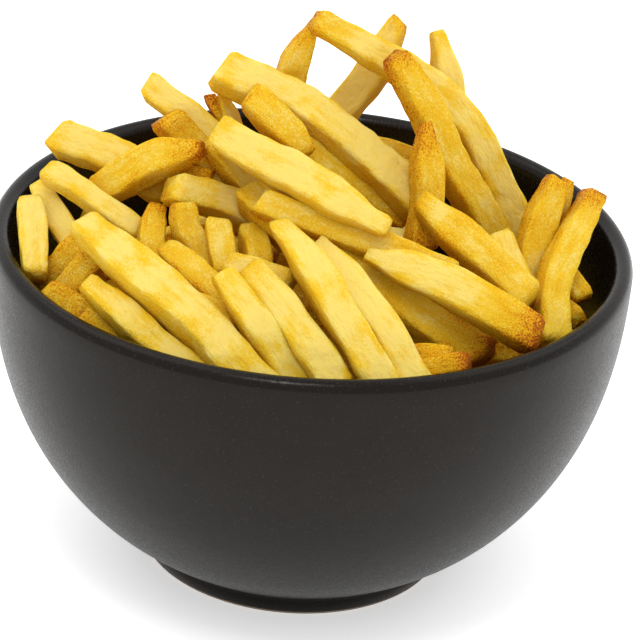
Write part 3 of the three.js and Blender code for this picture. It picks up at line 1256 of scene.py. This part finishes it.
@dataclass
class Scatter:
    """Fries that fill the heap under and behind the listed ones.

    They are spread evenly by the golden angle and lean to one slant, as a
    tipped-out handful does. Lengths are in millimetres. shares tells how common
    each of the kinds is, and pull_in how far out a fry still is after each try
    to bring it inside the wall.
    """

    rng: np.random.Generator
    spread: float = 66.0
    shortest: float = 34.0
    longest: float = 58.0
    slant_degrees: float = -40.0
    slant_spread_degrees: float = 38.0
    widths: Span = (6.5, 9.5)
    thin_ends: Span = (0.7, 1.0)
    most_roll: float = 45.0
    kinds: tuple[Kind, ...] = (GOLDEN, PALE, BROWNED)
    shares: tuple[float, ...] = (0.5, 0.3, 0.2)
    clear_of_wall: float = 5.0
    pull_in: float = 0.95
    golden_angle: float = math.pi * (3 - math.sqrt(5))

    def fries(self, heap: Heap, count: int) -> list[Fry]:
        """Draws fries all over the bowl.

        Args:
            heap: gives the bowl and the core that they stay over.
            count: how many.

        Returns:
            The fries, lying along the core's surface.
        """
        drawn = []
        for n in self.rng.permutation(count):
            radius = self.spread * math.sqrt((n + 0.5) / count)
            middle = radius * np.array([math.cos(n * self.golden_angle), math.sin(n * self.golden_angle)])
            heading = math.radians(self.rng.normal(self.slant_degrees, self.slant_spread_degrees))
            length = self.rng.uniform(self.shortest, self.longest)
            step = np.array([math.cos(heading), math.sin(heading)]) * length / 2
            middle = self.pulled_in(middle, step, heap.bowl)
            path = []
            for x, y in (middle - step, middle, middle + step):
                path.append((float(x), float(y), float(heap.core.top(x, y))))
            kind = self.kinds[int(self.rng.choice(len(self.kinds), p=self.shares))]
            width = self.rng.uniform(*self.widths)
            ends = (self.rng.uniform(*self.thin_ends), self.rng.uniform(*self.thin_ends))
            roll = self.rng.uniform(0, self.most_roll)
            drawn.append(Fry(kind, width, tuple(path), roll, ends))
        return drawn

    def pulled_in(self, middle: np.ndarray, step: np.ndarray, bowl: Bowl) -> np.ndarray:
        """Moves a fry towards the axis until both ends are inside the wall.

        Args:
            middle: where its middle is.
            step: from its middle to one end.
            bowl: the bowl.

        Returns:
            Where its middle is then.
        """
        reach = bowl.rim_radius - bowl.lip - self.clear_of_wall
        while max(np.linalg.norm(middle - step), np.linalg.norm(middle + step)) > reach:
            middle = middle * self.pull_in
        return middle


# --------------------------------------------------------------- fry surfaces


@dataclass
class FryMesh:
    """Builds the skin of a laid fry: a squarish section with worn edges.

    Lengths are in millimetres. A wave is how long one swing of a slow change
    along the fry is. hollow is how far each face sinks in, as a share of half
    the width, and breathing how much that changes along it.
    """

    rng: np.random.Generator
    around: int = 24
    hollow: Span = (0.02, 0.09)
    breathing: float = 0.6
    breathing_wave: float = 18.0
    wander: float = 0.025
    wander_wave: float = 26.0
    sway: float = 0.03
    sway_wave: float = 34.0
    twist_degrees: float = 5.0
    twist_wave: float = 45.0
    wave_spread: Span = (0.7, 1.4)
    waves: int = 3
    ripple: float = 0.14
    ripple_length: Span = (4.0, 13.0)
    ripples: int = 6
    ripple_share: float = 1.7
    end_round: float = 1.0
    end_size: float = 0.82
    slant_degrees: float = 18.0
    slant_reach: float = 5.0
    burn_reach: Span = (1.2, 6.0)
    burn_spread: float = 0.08
    tone: dict = field(default_factory=lambda: {PALE: 0.08, GOLDEN: 0.26, BROWNED: 0.42})
    tone_spread: float = 0.03
    tone_drift: float = 0.05
    tone_wave: float = 14.0
    edge_tone: Span = (0.12, 0.08)
    edge_wave: float = 9.0
    edge_at: Span = (0.55, 0.85)
    # Painted shade: the faces turned from the eye get more done. Painted light: the face turned to the eye
    # gets paler.
    painted_side_shade: Span = (0.18, 0.36)
    side_at: Span = (0.2, 0.9)
    painted_face_light: float = 0.05
    grain_offset: float = 500.0

    def section(self) -> np.ndarray:
        """Draws the cut baton's section, 2 by 2 with rounded corners.

        Returns:
            Rows of across and out of the face.
        """
        turn = (np.arange(self.around) + 0.5) * 2 * math.pi / self.around
        power = 2 / SQUARENESS
        across = np.sign(np.cos(turn)) * np.abs(np.cos(turn)) ** power
        out = np.sign(np.sin(turn)) * np.abs(np.sin(turn)) ** power
        return np.stack([across, out], axis=1)

    def drift(self, along: np.ndarray, wavelength: float) -> np.ndarray:
        """Draws a slow random change along the fry.

        Args:
            along: how far each ring is along the fry.
            wavelength: about how long one swing is.

        Returns:
            About -1 to 1 at each ring.
        """
        phases = self.rng.uniform(0, 2 * math.pi, self.waves)
        stretch = self.rng.uniform(*self.wave_spread, self.waves)
        waves = [np.sin(along * 2 * math.pi / (wavelength * s) + p) for s, p in zip(stretch, phases)]
        return np.sum(waves, axis=0) / 2

    def rippled(self, points: np.ndarray, outward: np.ndarray) -> np.ndarray:
        """Pushes points in and out by a few random waves, as the crust blisters and dries.

        Args:
            points: the skin's points.
            outward: which way is out of the fry at each.

        Returns:
            The points where they are then.
        """
        push = np.zeros(points.shape[:-1])
        for _ in range(self.ripples):
            heading = unit(self.rng.normal(size=3))
            wavelength = self.rng.uniform(*self.ripple_length)
            push += np.sin(points @ heading * 2 * math.pi / wavelength + self.rng.uniform(0, 2 * math.pi))
        return points + outward * (push * self.ripple / self.ripple_share)[..., None]

    def rounding(self, to_end: np.ndarray) -> np.ndarray:
        """Tells how far the skin has curved in at each ring near one end.

        Args:
            to_end: each ring's distance from that end.

        Returns:
            1 away from the end, falling to 0 on it as a quarter circle does.
        """
        curve = np.sqrt(np.clip(1 - (1 - to_end / self.end_round) ** 2, 0, 1))
        return np.where(to_end < self.end_round, curve, 1.0)

    def worn(
        self, section: np.ndarray, along: np.ndarray, hollows: np.ndarray
    ) -> tuple[np.ndarray, np.ndarray]:
        """Sinks the four faces in along the fry, as steam leaves them.

        Args:
            section: the section's rows.
            along: how far each ring is along the fry.
            hollows: how far each of the four faces sinks in.

        Returns:
            For each ring and each point of it, how far across and how far out it is.
        """
        across = np.repeat(section[None, :, 0], len(along), axis=0)
        out = np.repeat(section[None, :, 1], len(along), axis=0)
        breathing = 1 + self.breathing * self.drift(along, self.breathing_wave)[:, None]
        side_hollow = np.where(across > 0, hollows[0], hollows[1]) * (1 - np.clip(np.abs(out), 0, 1) ** 2)
        face_hollow = np.where(out > 0, hollows[2], hollows[3]) * (1 - np.clip(np.abs(across), 0, 1) ** 2)
        across = across * (1 - side_hollow * breathing)
        return across, out * (1 - face_hollow * breathing) * THICKNESS_SHARE

    def slanted(self, across: np.ndarray, out: np.ndarray, along: np.ndarray) -> np.ndarray:
        """Leans the two cut ends, which are seldom square.

        Args:
            across: how far across each point is.
            out: how far out it is.
            along: how far each ring is along the fry.

        Returns:
            How far each point shifts along the fry, as a share of half the width.
        """
        slants = np.tan(np.radians(self.rng.uniform(-self.slant_degrees, self.slant_degrees, 4)))
        fade_start = np.exp(-along / self.slant_reach)[:, None]
        fade_end = np.exp(-(along[-1] - along) / self.slant_reach)[:, None]
        return (
            fade_start * (slants[0] * across + slants[1] * out)
            + fade_end * (slants[2] * across + slants[3] * out)
        )

    def build(self, laid: Laid) -> tuple[np.ndarray, list[tuple[int, ...]], np.ndarray, np.ndarray]:
        """Wraps the section along the fry's line and closes both ends.

        Args:
            laid: the fry in its place.

        Returns:
            Vertices, faces, each vertex's doneness and its place in the fry's own millimetres.
        """
        line, face = laid.line, laid.face
        along_fry = unit(np.gradient(line, axis=0))
        side = np.cross(along_fry, face)
        along = lengths_along(line)
        length = along[-1]
        section = self.section()
        hollows = self.rng.uniform(*self.hollow, size=4)
        swell = 1 + self.wander * self.drift(along, self.wander_wave)
        sway = self.sway * laid.fry.width * self.drift(along, self.sway_wave)
        rounding = np.minimum(self.rounding(along), self.rounding(length - along))
        radius = (laid.half_widths * swell * (self.end_size + (1 - self.end_size) * rounding))[:, None]
        across, out = self.worn(section, along, hollows)
        twist = np.radians(self.twist_degrees * self.drift(along, self.twist_wave))[:, None]
        turned_across = across * np.cos(twist) - out * np.sin(twist)
        turned_out = across * np.sin(twist) + out * np.cos(twist)
        shift = radius * self.slanted(turned_across, turned_out, along)
        outward = turned_across[..., None] * side[:, None, :] + turned_out[..., None] * face[:, None, :]
        points = (
            line[:, None, :]
            + sway[:, None, None] * side[:, None, :]
            + radius[..., None] * outward
            + shift[..., None] * along_fry[:, None, :]
        )
        points = self.rippled(points, unit(outward))
        ends = [points[0].mean(axis=0), points[-1].mean(axis=0)]
        vertices = np.concatenate([points.reshape(-1, 3), ends])
        done = self.doneness_and_shading(laid, section, along)
        own = np.stack([radius * across, radius * out, along[:, None] + np.zeros_like(across)], axis=-1)
        own = np.concatenate([own.reshape(-1, 3), [[0, 0, -1], [0, 0, length + 1]]])
        own += self.rng.uniform(-self.grain_offset, self.grain_offset, 3)
        return vertices, self.faces(len(line)), done, own

    def faces(self, rings: int) -> list[tuple[int, ...]]:
        """Joins the rings with quads and fans the two ends.

        Args:
            rings: how many rings the fry has.

        Returns:
            The faces, as numbers of vertices.
        """
        made = []
        for ring in range(rings - 1):
            low = ring * self.around
            high = low + self.around
            for k in range(self.around):
                after = (k + 1) % self.around
                made.append((low + k, low + after, high + after, high + k))
        last = (rings - 1) * self.around
        middle = rings * self.around
        for k in range(self.around):
            after = (k + 1) % self.around
            made.append((middle, after, k))
            made.append((middle + 1, last + k, last + after))
        return made

    def doneness_and_shading(self, laid: Laid, section: np.ndarray, along: np.ndarray) -> np.ndarray:
        """Works out how cooked each point is: more at edges and ends, with painted shade making the faces
        turned from the eye more done and painted light making the face turned to it paler.

        Args:
            laid: the fry.
            section: the section's rows.
            along: how far each ring is along the fry.

        Returns:
            One value for each vertex, from 0, raw pale, to 1, dark brown.
        """
        tone = self.tone[laid.fry.kind] + self.rng.normal(0, self.tone_spread)
        corner = smooth_step(*self.edge_at, np.abs(section[:, 0] * section[:, 1]))
        # Painted shade: every face but the one turned to the eye is made more done.
        towards_face = smooth_step(*self.side_at, section[:, 1])
        sides = self.rng.uniform(*self.painted_side_shade, 2)
        painted_side_shade = np.where(section[:, 0] > 0, sides[0], sides[1]) * (1 - towards_face)
        burn = np.array(laid.fry.burn) + self.rng.uniform(0.0, self.burn_spread, 2)
        reach = self.burn_reach[0] + self.burn_reach[1] * burn
        ends = burn[0] * np.exp(-along / reach[0]) + burn[1] * np.exp(-(along[-1] - along) / reach[1])
        drift = self.tone_drift * self.drift(along, self.tone_wave)
        edges = self.edge_tone[0] + self.edge_tone[1] * self.drift(along, self.edge_wave)
        # Besides real cooking, this sum holds the painted shade on the faces turned from the eye.
        cooked = tone + edges[:, None] * corner[None, :] + painted_side_shade[None, :] + (ends + drift)[:, None]
        # Painted light: the face turned to the eye is made paler.
        cooked -= self.painted_face_light * towards_face[None, :]
        return np.concatenate([cooked.reshape(-1), [tone + burn[0], tone + burn[1]]])


@dataclass
class Portion:
    """All the fries in the bowl, one piece for each kind, and the core under them.

    The counts are how many fries are tried: at the back, under the listed ones
    along the line of sight, under them from straight above, and last the short
    scraps. A fry that would stick out or not show isn't laid. Behind back_from, in
    millimetres from the axis, the bowl is filled from above.
    """

    bowl: Bowl
    sight: Sight
    seed: int = 19
    back_from: float = 8.0
    back_count: int = 260
    under_count: int = 220
    inner_count: int = 160
    scrap_count: int = 420
    scrap_length: Span = (18.0, 34.0)

    def materials(self) -> dict[Kind, bpy.types.Material]:
        """Makes the finish of each kind of fry.

        Returns:
            A material for each kind.
        """
        return {
            PALE: FriedPotato("pale_fried_potato").material(),
            GOLDEN: FriedPotato("golden_fried_potato").material(),
            BROWNED: FriedPotato("browned_fried_potato").material(),
        }

    def fill(self, heap: Heap) -> None:
        """Lays the fries: the back ones, the listed ones, then what shows between them.

        Args:
            heap: the empty heap.
        """
        rng = np.random.default_rng(self.seed)
        above = Sight(np.zeros(3), *np.eye(3))
        for fry in Scatter(rng).fries(heap, self.back_count):
            if fry.path[1][1] > self.back_from:
                heap.lay(fry, above)
        heap.pile(TALL_FRIES + CROSSED_FRIES + LEFT_FRIES + RIGHT_FRIES + FRONT_FRIES, self.sight)
        for fry in Scatter(rng).fries(heap, self.under_count):
            heap.tuck(fry, self.sight, heap.bedding)
        for fry in Scatter(rng).fries(heap, self.inner_count):
            heap.tuck(fry, above, heap.bedding)
        shortest, longest = self.scrap_length
        for fry in Scatter(rng, shortest=shortest, longest=longest).fries(heap, self.scrap_count):
            heap.tuck(fry, above, heap.bedding)

    def build(self) -> list[bpy.types.Object]:
        """Lays every fry, skins it and joins each kind into one piece.

        Returns:
            The pieces, the core first.
        """
        core = Core()
        heap = Heap(self.bowl, core)
        self.fill(heap)
        finishes = self.materials()
        skin = FryMesh(np.random.default_rng(self.seed))
        pieces = [core.build(self.bowl)]
        for kind in Kind:
            fries = [one for one in heap.laid if one.fry.kind is kind]
            pieces.append(self.joined(kind, fries, skin, finishes[kind]))
        for piece in pieces:
            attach(piece, BODY)
            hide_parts(HEAP_NODE)
        return pieces

    def joined(
        self, kind: Kind, fries: list[Laid], skin: FryMesh, finish: bpy.types.Material
    ) -> bpy.types.Object:
        """Joins the fries of one kind into one mesh.

        Args:
            kind: gives the piece its name.
            fries: the fries in their places.
            skin: builds each fry's surface.
            finish: the material.

        Returns:
            The piece.
        """
        vertices, faces, done, own = [], [], [], []
        count = 0
        for one in fries:
            points, quads, cooked, in_baton = skin.build(one)
            vertices.append(points * MM)
            faces.extend(tuple(index + count for index in quad) for quad in quads)
            done.append(cooked)
            own.append(in_baton)
            count += len(points)
        mesh = bpy.data.meshes.new(kind.value)
        mesh.from_pydata(np.concatenate(vertices).tolist(), [], faces)
        mesh.polygons.foreach_set("use_smooth", [True] * len(faces))
        # How done each point is, with the painted shade and painted light added to it.
        doneness_and_shading = mesh.attributes.new("doneness_and_shading", "FLOAT", "POINT")
        doneness_and_shading.data.foreach_set("value", np.concatenate(done).astype(np.float32))
        baton = mesh.attributes.new("baton", "FLOAT_VECTOR", "POINT")
        baton.data.foreach_set("vector", np.concatenate(own).astype(np.float32).ravel())
        mesh.materials.append(finish)
        piece = bpy.data.objects.new(kind.value, mesh)
        bpy.context.scene.collection.objects.link(piece)
        return piece


# --------------------------------------------------------------------- studio


@dataclass(frozen=True)
class Softbox:
    """A square diffused light that looks at the bowl. Lengths are in metres."""

    name: str
    place: Place
    size: float
    watts: float
    aim_height: float = 0.08

    def build(self) -> None:
        """Hangs the light."""
        data = bpy.data.lights.new(self.name, "AREA")
        data.shape = "SQUARE"
        data.size = self.size
        data.energy = self.watts
        light = bpy.data.objects.new(self.name, data)
        light.location = self.place
        toward = Vector((0, 0, self.aim_height)) - light.location
        light.rotation_euler = toward.to_track_quat("-Z", "Y").to_euler()
        bpy.context.scene.collection.objects.link(light)


@dataclass
class Studio:
    """A white card floor, a white surround and soft light from above."""

    floor_size: float = 6.0
    surround: str = "#ffffff"
    surround_strength: float = 1.0
    lights: tuple[Softbox, ...] = (
        Softbox("top_left", (-0.7, 0.2, 1.3), 1.0, 3.3),
        Softbox("top_right", (0.8, 0.3, 1.2), 1.0, 2.6),
        Softbox("top_front", (-0.1, -0.55, 1.2), 0.3, 3.0),
    )

    def build(self) -> None:
        """Lays the floor, lights it and sets how the picture is shown."""
        half = self.floor_size / 2
        mesh = bpy.data.meshes.new("floor")
        corners = [(-half, -half, 0), (half, -half, 0), (half, half, 0), (-half, half, 0)]
        mesh.from_pydata(corners, [], [(0, 1, 2, 3)])
        mesh.materials.append(WhiteCard().material())
        floor = bpy.data.objects.new("floor", mesh)
        bpy.context.scene.collection.objects.link(floor)
        for light in self.lights:
            light.build()
        world = bpy.data.worlds.new("surround")
        world.use_nodes = True
        background = world.node_tree.nodes["Background"]
        background.inputs["Color"].default_value = linear(self.surround)
        background.inputs["Strength"].default_value = self.surround_strength
        bpy.context.scene.world = world
        bpy.context.scene.view_settings.view_transform = "Standard"


def report(piece: bpy.types.Object) -> None:
    """Logs one piece's name and how many faces it has."""
    LOG.info("%s: %d faces", piece.name, len(piece.data.polygons))


def main() -> None:
    """Builds the bowl, the fries and the studio in turn."""
    logging.basicConfig(level=logging.INFO, format="%(message)s")
    viewpoint = Viewpoint()
    viewpoint.camera()
    bowl = Bowl()
    report(bowl.build())
    for piece in Portion(bowl, viewpoint.sight()).build():
        report(piece)
    Studio().build()


if __name__ == "__main__":
    main()
